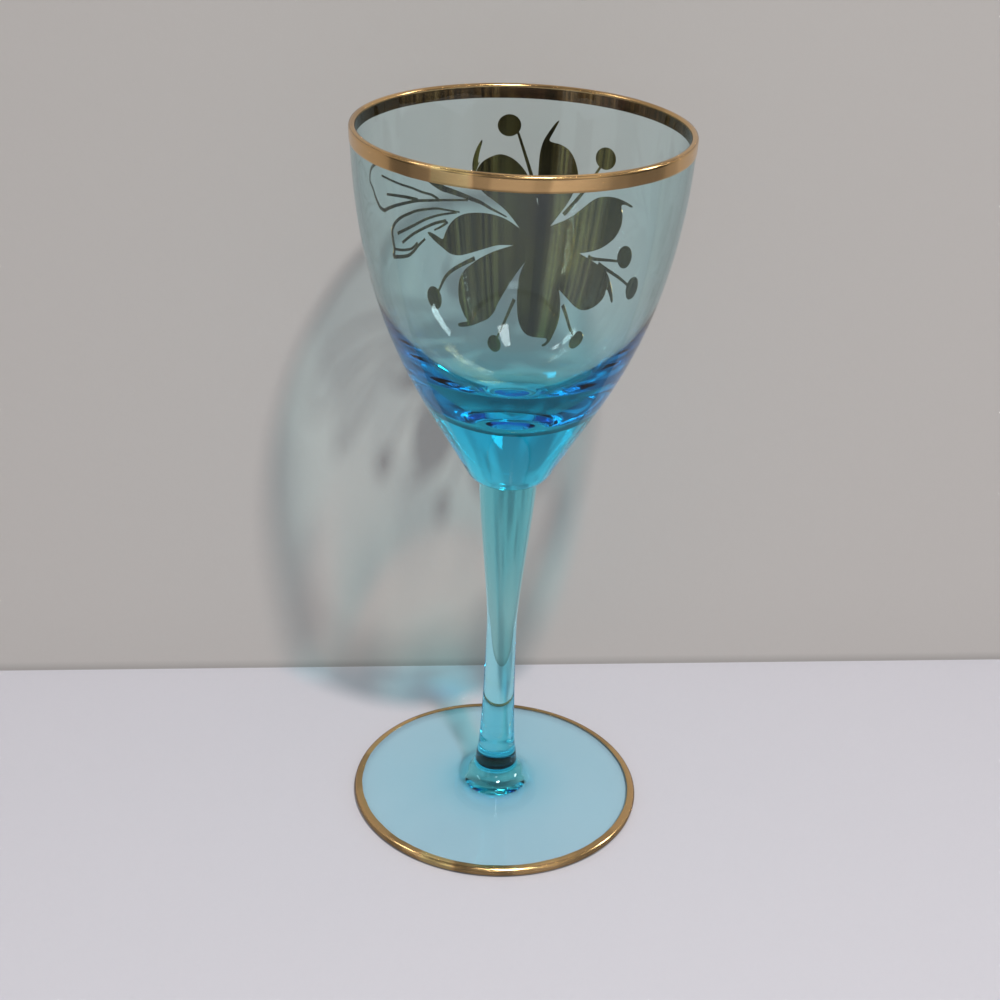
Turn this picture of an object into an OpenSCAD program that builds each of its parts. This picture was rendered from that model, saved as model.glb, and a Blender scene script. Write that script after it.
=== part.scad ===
// Small stemmed cordial glass: a blown bowl on a drawn stem and a round foot,
// fused together hot, with fired gold on the rim, the foot and one side of the bowl.
// The glass stands on the XY plane, its axis is +Z, and the gold flower is on the +Y side.

/* [Bowl] */
// Height of the whole glass
glass_h = 135; // [115:1:160]
// Outer diameter of the rim
rim_d = 58; // [50:1:66]
// Outer height of the bowl, from the stem to the lip
bowl_h = 65; // [60:1:72]
// Thickness of the wall at the rim
wall_t = 1; // [0.7:0.1:1.5]
// Solid glass under the inside of the bowl
base_t = 14.4; // [11:0.1:18]
// Height over which the inside rounds out from its floor to the thin wall
floor_round_h = 22; // [16:0.5:26]

/* [Stem] */
// Diameter at the joint with the bowl
stem_top_d = 10.6; // [8:0.1:12]
// Diameter at the thinnest place
waist_d = 5.7; // [4.5:0.1:7]
// Height of the thinnest place above the table
waist_z = 39; // [28:1:44]
// Diameter of the thick end that is stuck to the foot
stem_end_d = 7.9; // [6:0.1:9.5]
// Height of that thick end
stem_end_h = 2.5; // [2:0.1:5]

/* [Foot] */
// Diameter of the foot
foot_d = 56; // [48:1:64]
// Thickness of the foot at its rounded edge
edge_t = 1.7; // [1.2:0.1:2.4]
// Height of the stem's seat above the table
seat_h = 8.6; // [7.4:0.1:10]
// Diameter at which the sloping boss round the seat starts to run out
boss_d = 11.2; // [10:0.1:14]
// Height of the boss there
boss_h = 5.2; // [4.4:0.1:5.8]
// Diameter at which the boss has run out into the plate
plate_d = 18.4; // [16:0.1:22]
// Thickness of the plate there
plate_h = 3.4; // [2.6:0.1:3.8]
// Depth of the hollow under the foot
kick_h = 1.2; // [0.6:0.1:1.6]
// Width of the flat ring that the glass rests on
rest_w = 2.5; // [1.5:0.1:4]

/* [Gold] */
// Height of the band on the rim
rim_band_h = 2.7; // [1.5:0.1:5]
// Width of the line on top of the foot's edge
foot_line_w = 0.7; // [0.4:0.1:2]
// Thickness of the fired gold
film_t = 0.12; // [0.08:0.01:0.2]
// Size of the flower, the length that its outlines are shares of
flower_size = 40; // [30:1:42]
// From the lip down to the flower's middle
flower_drop = 29; // [26:0.5:31]
// Distance of the flower's middle from the +Y line, along the wall
flower_turn = 3.8; // [0:0.1:8]
// Radius of the stamens' round heads
head_r = 2; // [1.2:0.1:2.4]
// Width of the stamens' lines at the head
thread_w = 0.4; // [0.2:0.05:0.8]
// Width of the stamens' lines at the flower
thread_root_w = 0.8; // [0.3:0.05:1]
// Width of the strokes that draw the leaves
stroke_w = 0.6; // [0.3:0.05:0.9]
// Width of the leaves' veins
vein_w = 0.5; // [0.2:0.05:0.7]

/* [Hidden] */

aqua = [0.35, 0.72, 0.82];
gold = [0.78, 0.60, 0.34];
gold_under = [0.34, 0.33, 0.24];

// Steps of the long, the middle and the short curves
long_steps = 18;
mid_steps = 12;
short_steps = 5;
spline_steps = 4;

// Heights and radii that the sections share
rim_r = rim_d / 2;
foot_r = foot_d / 2;
joint_z = glass_h - bowl_h;
joint_r = stem_top_d / 2;
lip_r = wall_t / 2;
lip_z = glass_h - lip_r;
edge_r = edge_t / 2;
edge_c = [foot_r - edge_r, edge_r];
floor_z = joint_z + base_t;
thin_z = floor_z + floor_round_h;

// Shape of the bowl's outside: a cone that turns into a nearly upright rim
cone_slope_share = 0.54;
cone_start_r_share = 0.276;
cone_start_h_share = 0.031;
cone_len_share = 0.217;
rim_pull_share = 0.53;
rim_slope_share = 0.034;

function cubic(p, t) =
    pow(1 - t, 3) * p[0] + 3 * pow(1 - t, 2) * t * p[1] + 3 * (1 - t) * t * t * p[2] + pow(t, 3) * p[3];
function curve(p, steps) = [for (i = [0:steps]) cubic(p, i / steps)];
function arc(c, r, from, to, steps) =
    [for (i = [0:steps]) let (a = from + (to - from) * i / steps) c + r * [cos(a), sin(a)]];
function reversed(list) = [for (i = [len(list) - 1:-1:0]) list[i]];
function tail(list) = [for (i = [1:len(list) - 1]) list[i]];

cone_start = [rim_r * cone_start_r_share, joint_z + bowl_h * cone_start_h_share];
cone_len = bowl_h * cone_len_share;
rim_pull = bowl_h * rim_pull_share;
wall_top = [rim_r, lip_z];
wall_curve = curve([
    cone_start,
    cone_start + cone_len * [cone_slope_share, 1],
    wall_top - rim_pull * [rim_slope_share, 1],
    wall_top
], long_steps);
wall_table = [for (p = wall_curve) [p[1], p[0]]];
function wall_radius(z) = lookup(z, wall_table);

// The rounded bottom of the bowl, from the joint out to the cone
joint_edge = [joint_r, joint_z];
under_corner = [cone_start[0] - (cone_start[1] - joint_z) * cone_slope_share, joint_z];
under_curve = curve([
    joint_edge,
    (joint_edge + 2 * under_corner) / 3,
    (cone_start + 2 * under_corner) / 3,
    cone_start
], short_steps);

// The inside: a dished floor that runs into the thin wall
thin_r = wall_radius(thin_z) - wall_t;
thin_slope = (wall_radius(thin_z + wall_t) - wall_radius(thin_z - wall_t)) / (2 * wall_t);
floor_flat_share = 0.54;
floor_pull_share = 0.5;
floor_curve = curve([
    [0, floor_z],
    [thin_r * floor_flat_share, floor_z],
    [thin_r, thin_z] - floor_round_h * floor_pull_share * [thin_slope, 1],
    [thin_r, thin_z]
], mid_steps);
inner_wall = [for (p = wall_curve) if (p[1] > thin_z + wall_t) p - [wall_t, 0]];
lip_arc = arc([rim_r - lip_r, lip_z], lip_r, 0, 180, 2 * short_steps);

module bowl() {
    color(aqua)
    rotate_extrude($fn = 128)
    polygon(concat(
        [[0, joint_z]],
        under_curve,
        tail(wall_curve),
        tail(lip_arc),
        tail(reversed(inner_wall)),
        reversed(floor_curve)
    ));
}

// The stem: a trumpet under the bowl, a waist, and a thick end on the foot
waist_r = waist_d / 2;
stem_end_r = stem_end_d / 2;
stem_end_z = seat_h + stem_end_h;
trumpet_len = joint_z - waist_z;
shank_len = waist_z - stem_end_z;
trumpet_start_share = 0.19;
trumpet_end_share = 0.19;
shank_top_share = 0.33;
shank_foot_share = 0.2;
end_round_share = 0.25;
trumpet_curve = curve([
    [waist_r, waist_z],
    [waist_r, waist_z + trumpet_len * trumpet_start_share],
    [joint_r, joint_z - trumpet_len * trumpet_end_share],
    [joint_r, joint_z]
], mid_steps);
shank_foot_r = waist_r + (stem_end_r - waist_r) * 2 / 3;
shank_curve = curve([
    [shank_foot_r, stem_end_z],
    [waist_r + (shank_foot_r - waist_r) / 3, stem_end_z + shank_len * shank_foot_share],
    [waist_r, waist_z - shank_len * shank_top_share],
    [waist_r, waist_z]
], mid_steps);
stem_end_curve = curve([
    [stem_end_r, seat_h],
    [stem_end_r, seat_h + stem_end_h / 2],
    [shank_foot_r, stem_end_z - stem_end_h * end_round_share],
    [shank_foot_r, stem_end_z]
], short_steps);

module stem() {
    color(aqua)
    rotate_extrude($fn = 96)
    polygon(concat(
        [[0, seat_h]],
        stem_end_curve,
        tail(shank_curve),
        tail(trumpet_curve),
        [[0, joint_z]]
    ));
}

// The foot: a neck under the stem, a sloping boss, a thin plate and a hollow below
boss_r = boss_d / 2;
boss_edge = [boss_r, boss_h];
plate_start = [plate_d / 2, plate_h];
edge_top = edge_c + [0, edge_r];
neck_drop_share = 0.41;
boss_side_share = 0.525;
boss_slope_share = 0.65;
boss_out_share = 0.353;
plate_run_share = 0.18;
plate_dip_share = 0.4;
boss_fall = [1, -boss_slope_share];
plate_lead = [(edge_top[0] - plate_start[0]) * plate_run_share, (edge_t - plate_h) * plate_dip_share];
neck_curve = curve([
    [stem_end_r, seat_h],
    [stem_end_r, seat_h - (seat_h - boss_h) * neck_drop_share],
    boss_edge - boss_fall * (boss_r - stem_end_r) * boss_side_share,
    boss_edge
], mid_steps);
boss_curve = curve([
    boss_edge,
    boss_edge + boss_fall * (plate_start[0] - boss_r) * boss_out_share,
    plate_start - plate_lead / 2,
    plate_start
], mid_steps);
plate_curve = curve([
    plate_start,
    plate_start + plate_lead,
    [(plate_start[0] + edge_top[0]) / 2, edge_t],
    edge_top
], mid_steps);
edge_arc = arc(edge_c, edge_r, 90, -90, 2 * short_steps);
rest_r = edge_c[0] - rest_w;
kick_run_share = 3;
kick_curve = curve([
    [rest_r, 0],
    [rest_r - rest_w * kick_run_share, 0],
    [rest_r / 2, kick_h],
    [0, kick_h]
], mid_steps);

module foot() {
    color(aqua)
    rotate_extrude($fn = 128)
    polygon(concat(
        [[0, seat_h]],
        neck_curve,
        tail(boss_curve),
        tail(plate_curve),
        tail(edge_arc),
        kick_curve
    ));
}

// Fired gold on the rim: the band on the outside, carried over the round lip
band_z = lip_z + lip_r - rim_band_h;
band_wall = concat(
    [[wall_radius(band_z), band_z]],
    [for (p = wall_curve) if (p[1] > band_z) p]
);
gold_lip_arc = arc([rim_r - lip_r, lip_z], lip_r + film_t, 0, 180, 2 * short_steps);

module rim_band() {
    color(gold)
    rotate_extrude($fn = 128)
    polygon(concat(
        band_wall,
        tail(lip_arc),
        reversed(gold_lip_arc),
        tail(reversed([for (p = band_wall) p + [film_t, 0]]))
    ));
}

// Fired gold on the foot: round the edge and a line on top, clear of the table
line_low_angle = -50;
line_top_r = edge_c[0] - foot_line_w;
line_top_z = lookup(line_top_r, plate_curve);
line_plate = concat(
    [[line_top_r, line_top_z]],
    [for (p = plate_curve) if (p[0] > line_top_r) p]
);
line_edge_arc = arc(edge_c, edge_r, 90, line_low_angle, 2 * short_steps);
gold_edge_arc = arc(edge_c, edge_r + film_t, 90, line_low_angle, 2 * short_steps);

module foot_line() {
    color(gold)
    rotate_extrude($fn = 128)
    polygon(concat(
        line_plate,
        tail(line_edge_arc),
        reversed(gold_edge_arc),
        tail(reversed([for (p = line_plate) p + [0, film_t]]))
    ));
}

// The flower is drawn flat, as shares of flower_size from its middle: first along the
// wall, to the right as seen from inside the glass, then up. Each petal starts and ends
// at a notch of the heart and carries one curl, like a stroke of a brush.
notch_shares = [
    [-0.093, 0.073], [-0.010, 0.175], [0.055, 0.094], [0.224, -0.003],
    [0.149, -0.175], [-0.058, -0.073], [-0.120, -0.003]
];
petal_shares = [
    [
        [-0.170, 0.158], [-0.275, 0.240], [-0.302, 0.308], [-0.275, 0.365], [-0.230, 0.393],
        [-0.188, 0.403], [-0.142, 0.388], [-0.103, 0.357], [-0.068, 0.312], [-0.030, 0.235]
    ],
    [
        [-0.020, 0.238], [-0.022, 0.325], [-0.020, 0.412], [-0.010, 0.465], [0.008, 0.505],
        [0.038, 0.555], [0.054, 0.568], [0.035, 0.520], [0.018, 0.478], [0.037, 0.468],
        [0.065, 0.463], [0.103, 0.445], [0.133, 0.408], [0.156, 0.350], [0.160, 0.295],
        [0.136, 0.225], [0.106, 0.170]
    ],
    [
        [0.130, 0.133], [0.188, 0.180], [0.237, 0.230], [0.272, 0.255], [0.317, 0.270],
        [0.368, 0.276], [0.416, 0.274], [0.473, 0.265], [0.468, 0.257], [0.430, 0.259],
        [0.408, 0.248], [0.425, 0.210], [0.430, 0.163], [0.413, 0.113], [0.380, 0.073],
        [0.335, 0.038], [0.280, 0.013]
    ],
    [
        [0.318, -0.025], [0.402, -0.048], [0.440, -0.073], [0.484, -0.115], [0.520, -0.157],
        [0.508, -0.160], [0.478, -0.138], [0.448, -0.122], [0.446, -0.155], [0.421, -0.193],
        [0.380, -0.223], [0.330, -0.238], [0.278, -0.233], [0.213, -0.207]
    ],
    [
        [0.171, -0.223], [0.188, -0.282], [0.189, -0.330], [0.178, -0.373], [0.168, -0.403],
        [0.150, -0.430], [0.128, -0.443], [0.113, -0.435], [0.133, -0.420], [0.138, -0.398],
        [0.090, -0.398], [0.030, -0.398], [-0.018, -0.388], [-0.055, -0.363], [-0.078, -0.325],
        [-0.090, -0.270], [-0.093, -0.213], [-0.089, -0.155], [-0.075, -0.107]
    ],
    [
        [-0.102, -0.125], [-0.157, -0.195], [-0.205, -0.255], [-0.232, -0.293], [-0.272, -0.320],
        [-0.325, -0.333], [-0.405, -0.345], [-0.480, -0.340], [-0.477, -0.325], [-0.415, -0.323],
        [-0.428, -0.295], [-0.442, -0.245], [-0.440, -0.193], [-0.423, -0.143], [-0.388, -0.105],
        [-0.343, -0.080], [-0.290, -0.055], [-0.213, -0.028]
    ],
    [
        [-0.195, -0.003], [-0.260, -0.015], [-0.335, -0.030], [-0.405, -0.037], [-0.458, -0.023],
        [-0.500, 0.010], [-0.540, 0.045], [-0.573, 0.082], [-0.561, 0.087], [-0.523, 0.065],
        [-0.491, 0.045], [-0.473, 0.068], [-0.448, 0.100], [-0.411, 0.128], [-0.363, 0.143],
        [-0.310, 0.145], [-0.256, 0.140], [-0.204, 0.128], [-0.153, 0.108]
    ]
];
curl_shares = [
    [-0.312, 0.300], [-0.316, 0.363], [-0.300, 0.423], [-0.276, 0.467],
    [-0.271, 0.460], [-0.283, 0.413], [-0.290, 0.368], [-0.284, 0.368], [-0.308, 0.308]
];

// Each stamen: the middle of its head, then the points of its line towards the flower
stamen_shares = [
    [[-0.155, 0.535], [-0.116, 0.500], [-0.053, 0.320], [-0.017, 0.213]],
    [[0.280, 0.433], [0.255, 0.385], [0.188, 0.258], [0.113, 0.153]],
    [[0.499, 0.040], [0.455, 0.010], [0.318, -0.012], [0.275, -0.008]],
    [[0.628, -0.065], [0.585, -0.065], [0.418, -0.043], [0.343, -0.028]],
    [[0.368, -0.378], [0.325, -0.355], [0.273, -0.320], [0.190, -0.238]],
    [[-0.245, -0.445], [-0.215, -0.403], [-0.160, -0.330], [-0.107, -0.238]],
    [[-0.605, -0.195], [-0.555, -0.165], [-0.475, -0.105], [-0.320, -0.057]]
];

// The leaves: strokes, each with its widths at both ends as shares of the stroke or the vein,
// and its points
leaf_upper_shares = [
    [0.4, 2, [
        [-0.155, 0.122], [-0.190, 0.140], [-0.235, 0.163], [-0.272, 0.186], [-0.312, 0.204],
        [-0.357, 0.223], [-0.415, 0.248], [-0.462, 0.268], [-0.500, 0.295]
    ]],
    [2, 0.8, [
        [-0.500, 0.295], [-0.560, 0.340], [-0.650, 0.390], [-0.750, 0.440], [-0.850, 0.465],
        [-0.935, 0.455], [-0.965, 0.410]
    ]],
    [0.8, 1.1, [
        [-0.965, 0.410], [-0.935, 0.365], [-0.922, 0.330], [-0.905, 0.298], [-0.885, 0.270],
        [-0.850, 0.248]
    ]],
    [1.1, 0.6, [
        [-0.850, 0.248], [-0.807, 0.248], [-0.745, 0.245], [-0.680, 0.240], [-0.607, 0.235],
        [-0.540, 0.225], [-0.460, 0.215], [-0.417, 0.210], [-0.340, 0.203]
    ]]
];
leaf_upper_vein_shares = [
    [0.7, 0.9, [
        [-0.840, 0.400], [-0.757, 0.355], [-0.697, 0.325], [-0.635, 0.298], [-0.575, 0.268],
        [-0.525, 0.248], [-0.490, 0.223]
    ]],
    [0.9, 1.2, [[-0.812, 0.310], [-0.735, 0.285], [-0.675, 0.265], [-0.607, 0.240]]]
];
leaf_lower_shares = [
    [0.5, 1.3, [
        [-0.385, 0.153], [-0.452, 0.170], [-0.500, 0.183], [-0.545, 0.188], [-0.615, 0.193],
        [-0.675, 0.190], [-0.735, 0.185], [-0.782, 0.170], [-0.810, 0.145], [-0.817, 0.108],
        [-0.822, 0.065], [-0.847, 0.040]
    ]],
    [1.2, 0.7, [
        [-0.847, 0.040], [-0.780, 0.023], [-0.722, 0.015], [-0.677, 0.025], [-0.637, 0.043],
        [-0.590, 0.062]
    ]]
];
leaf_lower_vein_shares = [
    [1, 0.9, [[-0.820, 0.068], [-0.767, 0.050], [-0.715, 0.040], [-0.680, 0.040], [-0.642, 0.055]]],
    [1.2, 0.7, [
        [-0.770, 0.125], [-0.707, 0.128], [-0.640, 0.135], [-0.580, 0.145], [-0.532, 0.150],
        [-0.485, 0.153], [-0.400, 0.153]
    ]],
    [1, 1.1, [
        [-0.747, 0.078], [-0.675, 0.095], [-0.632, 0.103], [-0.587, 0.110], [-0.522, 0.120],
        [-0.457, 0.123]
    ]],
    [0.6, 1, [[-0.530, 0.091], [-0.500, 0.097], [-0.477, 0.104], [-0.450, 0.116]]]
];
leaf_turn_share = -0.65;

// A smooth line through points, and its thickening into a stroke
function spline_point(a, b, c, d, t) =
    (2 * b + (c - a) * t + (2 * a - 5 * b + 4 * c - d) * t * t + (3 * b - a - 3 * c + d) * pow(t, 3)) / 2;
function spline(p) = [
    for (i = [0:len(p) - 2], k = [0:spline_steps - 1])
        spline_point(p[max(i - 1, 0)], p[i], p[i + 1], p[min(i + 2, len(p) - 1)], k / spline_steps),
    p[len(p) - 1]
];
function across(p, i) =
    let (d = p[min(i + 1, len(p) - 1)] - p[max(i - 1, 0)]) [-d[1], d[0]] / norm(d);
function stroke(p, from_w, to_w) = let (n = len(p) - 1) concat(
    [for (i = [0:n]) p[i] + across(p, i) * (from_w + (to_w - from_w) * i / n) / 2],
    [for (i = [n:-1:0]) p[i] - across(p, i) * (from_w + (to_w - from_w) * i / n) / 2]
);

// A flat place on the wall, seen square on from the side that turn faces
flower_z = glass_h - flower_drop;
wrap_share = 0.897;
wrap_r = rim_r * wrap_share;
degrees_per_mm = 180 / (PI * wrap_r);
function laid(p, turn) = [wall_radius(p[1]) * sin((p[0] - turn) * degrees_per_mm), p[1]];
function placed(share) = [flower_turn, flower_z] + flower_size * share;
function placed_all(shares) = [for (s = shares) placed(s)];

module gold_skin() {
    rotate_extrude($fn = 128)
    polygon(concat(wall_curve, reversed([for (p = wall_curve) p + [film_t, 0]])));
}

module cutter(points, turn) {
    rotate([0, 0, -turn * degrees_per_mm])
    mirror([0, 1, 0])
    rotate([90, 0, 0])
    linear_extrude(rim_d)
    polygon([for (p = points) laid(p, turn)]);
}

module patch(points, turn) {
    intersection() {
        gold_skin();
        cutter(points, turn);
    }
}

module petal(i) {
    notches = [placed(notch_shares[i]), placed(notch_shares[(i + 1) % len(notch_shares)])];
    color(gold_under)
    patch(spline(concat([notches[0]], placed_all(petal_shares[i]), [notches[1]])), flower_turn);
}

module flower_heart() {
    color(gold_under)
    patch(placed_all(notch_shares), flower_turn);
}

module side_curl() {
    color(gold)
    patch(spline(placed_all(curl_shares)), flower_turn);
}

module stamen(i) {
    head = placed(stamen_shares[i][0]);
    line = spline(placed_all(tail(stamen_shares[i])));
    color(gold_under)
    intersection() {
        gold_skin();
        union() {
            cutter(arc(head, head_r, 0, 360 - 360 / (6 * short_steps), 6 * short_steps - 1), head[0]);
            cutter(stroke(concat([head], line), thread_w, thread_root_w), head[0]);
        }
    }
}

module drawn(shares, w, turn) {
    cutter(stroke(spline(placed_all(shares[2])), w * shares[0], w * shares[1]), turn);
}

module leaf(outline_shares, vein_shares) {
    turn = flower_turn + flower_size * leaf_turn_share;
    color(gold_under)
    intersection() {
        gold_skin();
        union() {
            for (s = outline_shares) drawn(s, stroke_w, turn);
            for (s = vein_shares) drawn(s, vein_w, turn);
        }
    }
}

module leaf_upper() { leaf(leaf_upper_shares, leaf_upper_vein_shares); }
module leaf_lower() { leaf(leaf_lower_shares, leaf_lower_vein_shares); }

bowl();
stem();
foot();
rim_band();
foot_line();
flower_heart();
petal(0);  // petal_1
petal(1);  // petal_2
petal(2);  // petal_3
petal(3);  // petal_4
petal(4);  // petal_5
petal(5);  // petal_6
petal(6);  // petal_7
side_curl();
stamen(0);  // stamen_1
stamen(1);  // stamen_2
stamen(2);  // stamen_3
stamen(3);  // stamen_4
stamen(4);  // stamen_5
stamen(5);  // stamen_6
stamen(6);  // stamen_7
leaf_upper();
leaf_lower();
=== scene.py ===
# A small stemmed cordial glass of clear aqua glass with fired gold, and the table it is shown on.
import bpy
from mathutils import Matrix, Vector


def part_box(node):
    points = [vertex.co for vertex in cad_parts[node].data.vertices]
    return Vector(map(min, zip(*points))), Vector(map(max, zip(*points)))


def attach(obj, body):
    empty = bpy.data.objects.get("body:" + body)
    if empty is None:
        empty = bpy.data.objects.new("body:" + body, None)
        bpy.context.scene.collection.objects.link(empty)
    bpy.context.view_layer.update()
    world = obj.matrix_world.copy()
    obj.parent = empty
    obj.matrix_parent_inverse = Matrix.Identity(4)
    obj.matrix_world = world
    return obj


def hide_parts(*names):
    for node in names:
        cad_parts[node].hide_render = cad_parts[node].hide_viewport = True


bl_info = {
    "name": "Cordial Glass",
    "version": (1, 0, 0),
    "blender": (4, 5, 0),
    "location": "3D View > Sidebar > Cordial Glass",
    "description": "Builds a stemmed aqua cordial glass with a gold rim, a gold foot line and a gold flower",
    "category": "Object",
}

import math

import bmesh
import bpy
import numpy as np
from mathutils import Matrix, Vector, noise

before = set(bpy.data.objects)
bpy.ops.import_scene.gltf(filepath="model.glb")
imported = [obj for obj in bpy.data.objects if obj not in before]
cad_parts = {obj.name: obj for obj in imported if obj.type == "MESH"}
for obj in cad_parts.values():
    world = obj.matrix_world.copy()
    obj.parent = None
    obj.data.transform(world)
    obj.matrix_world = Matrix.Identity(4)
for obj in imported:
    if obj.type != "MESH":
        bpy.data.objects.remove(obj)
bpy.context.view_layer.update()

MM = 0.001
BODY = "root"
BOWL_LOW, BOWL_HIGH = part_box("bowl")
FOOT_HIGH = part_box("foot")[1]
PETALS = ("flower_heart", "petal_1", "petal_2", "petal_3", "petal_4", "petal_5", "petal_6", "petal_7")
CURLS = ("side_curl",)
STAMENS = ("stamen_1", "stamen_2", "stamen_3", "stamen_4", "stamen_5", "stamen_6", "stamen_7")
LEAVES = ("leaf_upper", "leaf_lower")


# Sizes and colours a user would change


class GlassSettings(bpy.types.PropertyGroup):
    """Sizes and tint of the clear glass body"""

    wall: bpy.props.FloatProperty(
        name="Wall", description="Thickness of the bowl's wall at the rim", default=1.0 * MM, unit="LENGTH")
    base: bpy.props.FloatProperty(
        name="Base", description="Solid glass under the inside of the bowl", default=14.4 * MM, unit="LENGTH")
    floor_round: bpy.props.FloatProperty(
        name="Floor rounding", description="Height over which the floor runs out to the thin wall",
        default=22 * MM, unit="LENGTH")
    stem_top: bpy.props.FloatProperty(
        name="Stem top", description="Diameter of the stem at the bowl", default=10.6 * MM, unit="LENGTH")
    waist: bpy.props.FloatProperty(
        name="Waist", description="Diameter of the stem at its thinnest", default=5.7 * MM, unit="LENGTH")
    waist_height: bpy.props.FloatProperty(
        name="Waist height", description="Height of the thinnest place", default=39 * MM, unit="LENGTH")
    stem_end: bpy.props.FloatProperty(
        name="Stem end", description="Diameter of the thick end on the foot", default=7.9 * MM, unit="LENGTH")
    stem_end_height: bpy.props.FloatProperty(
        name="Stem end height", description="Height of that thick end", default=2.5 * MM, unit="LENGTH")
    foot_edge: bpy.props.FloatProperty(
        name="Foot edge", description="Thickness of the foot at its edge", default=1.7 * MM, unit="LENGTH")
    boss: bpy.props.FloatProperty(
        name="Boss", description="Diameter at which the sloping boss starts to run out", default=11.2 * MM,
        unit="LENGTH")
    boss_height: bpy.props.FloatProperty(
        name="Boss height", description="Height of the boss there", default=5.2 * MM, unit="LENGTH")
    plate: bpy.props.FloatProperty(
        name="Plate", description="Diameter at which the boss has run out into the plate", default=18.4 * MM,
        unit="LENGTH")
    plate_height: bpy.props.FloatProperty(
        name="Plate height", description="Thickness of the plate there", default=3.4 * MM, unit="LENGTH")
    hollow: bpy.props.FloatProperty(
        name="Hollow", description="Depth of the hollow under the foot", default=1.2 * MM, unit="LENGTH")
    rest_ring: bpy.props.FloatProperty(
        name="Rest ring", description="Width of the flat ring under the foot", default=2.5 * MM,
        unit="LENGTH")
    ripple: bpy.props.FloatProperty(
        name="Ripple", description="Unevenness of the blown inside", default=0.05 * MM, unit="LENGTH")
    segments: bpy.props.IntProperty(
        name="Segments", description="Facets round the axis", default=160, min=24)
    tint: bpy.props.FloatVectorProperty(
        name="Tint", description="Colour that is left of white light in thick glass",
        subtype="COLOR", size=3, min=0, max=1, default=(0.10, 0.90, 0.98))
    depth_of_tint: bpy.props.FloatProperty(
        name="Density", description="How strongly a metre of glass holds light back", default=150, min=0)


class GoldSettings(bpy.types.PropertyGroup):
    """Sizes and colours of the fired gold"""

    rim_band: bpy.props.FloatProperty(
        name="Rim band", description="Height of the gold on the rim", default=2.7 * MM, unit="LENGTH")
    foot_line: bpy.props.FloatProperty(
        name="Foot line", description="Width of the gold on the foot's top", default=0.7 * MM, unit="LENGTH")
    proud: bpy.props.FloatProperty(
        name="Proud", description="How far the gold stands off the glass", default=0.09 * MM, unit="LENGTH")
    sunk: bpy.props.FloatProperty(
        name="Sunk", description="How far the gold is fired into the glass", default=0.02 * MM, unit="LENGTH")
    grid: bpy.props.FloatProperty(
        name="Grid", description="Size of the faces that lie round the wall", default=1.0 * MM, unit="LENGTH")
    face: bpy.props.FloatVectorProperty(
        name="Gold", description="Colour of the gold from outside",
        subtype="COLOR", size=3, min=0, max=1, default=(0.88, 0.57, 0.26))
    back: bpy.props.FloatVectorProperty(
        name="Underside", description="Colour of the gold seen through the glass",
        subtype="COLOR", size=3, min=0, max=1, default=(0.190, 0.118, 0.040))


class StageSettings(bpy.types.PropertyGroup):
    """Table, wall and light"""

    table: bpy.props.FloatVectorProperty(
        name="Table", description="Colour of the table", subtype="COLOR", size=3, min=0, max=1,
        default=(0.54, 0.53, 0.575))
    wall: bpy.props.FloatVectorProperty(
        name="Wall", description="Colour of the wall", subtype="COLOR", size=3, min=0, max=1,
        default=(0.50, 0.475, 0.455))
    wall_distance: bpy.props.FloatProperty(
        name="Wall distance", description="From the glass's axis to the wall", default=45.6 * MM,
        unit="LENGTH")
    wall_turn: bpy.props.FloatProperty(
        name="Wall turn", description="Turn of the wall round the upright", default=math.radians(5.9),
        unit="ROTATION")
    daylight: bpy.props.FloatProperty(
        name="Daylight", description="Strength of the soft light from all sides", default=0.50, min=0)
    lamp: bpy.props.FloatProperty(
        name="Lamp", description="Power of the lamp that throws the shadow", default=4.6, min=0, unit="POWER")


# Turned shapes


def bend(a, b, c, d, steps):
    """Points of a smooth curve that leaves a towards b and reaches d from c."""
    t = np.linspace(0, 1, steps + 1)[:, None]
    a, b, c, d = (np.array(p, float) for p in (a, b, c, d))
    return (1 - t) ** 3 * a + 3 * (1 - t) ** 2 * t * b + 3 * (1 - t) * t * t * c + t ** 3 * d


def turn(centre, radius, start, end, steps):
    """Points of an arc, with its angles in degrees."""
    a = np.radians(np.linspace(start, end, steps + 1))
    return np.array(centre, float) + radius * np.stack([np.cos(a), np.sin(a)], 1)


def joined(parts, round_off=0.0):
    """One line through several, with each corner between two of them cut to a short curve."""
    line = parts[0]
    for part in parts[1:]:
        before, after = line[-2] - line[-1], part[1] - part[0]
        before, after = before / np.linalg.norm(before), after / np.linalg.norm(after)
        if round_off and abs(before @ after + 1) > 0.01:
            corner = line[-1]
            line = line[np.linalg.norm(line - corner, axis=1) > round_off]
            part = part[np.linalg.norm(part - corner, axis=1) > round_off]
            start, end = corner + before * round_off, corner + after * round_off
            curve = bend(start, (start + 2 * corner) / 3, (end + 2 * corner) / 3, end, 6)
            line = np.concatenate([line, curve, part])
        else:
            line = np.concatenate([line, part[1:]])
    return line


RIM_R, RIM_Z = BOWL_HIGH.x, BOWL_HIGH.z
JOINT_Z = BOWL_LOW.z
BOWL_H = RIM_Z - JOINT_Z
SEAT_Z = FOOT_HIGH.z
FOOT_R = FOOT_HIGH.x
# Where the straight cone under the bowl starts, and how far it widens for each step up
CONE_START = np.array([RIM_R * 0.276, JOINT_Z + BOWL_H * 0.031])
CONE_SLOPE = 0.54
# How the wall leaves the cone and reaches the lip, as shares of the bowl's height
CONE_LEAD, LIP_LEAD, LIP_LEAN = 0.217, 0.53, 0.034
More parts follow.
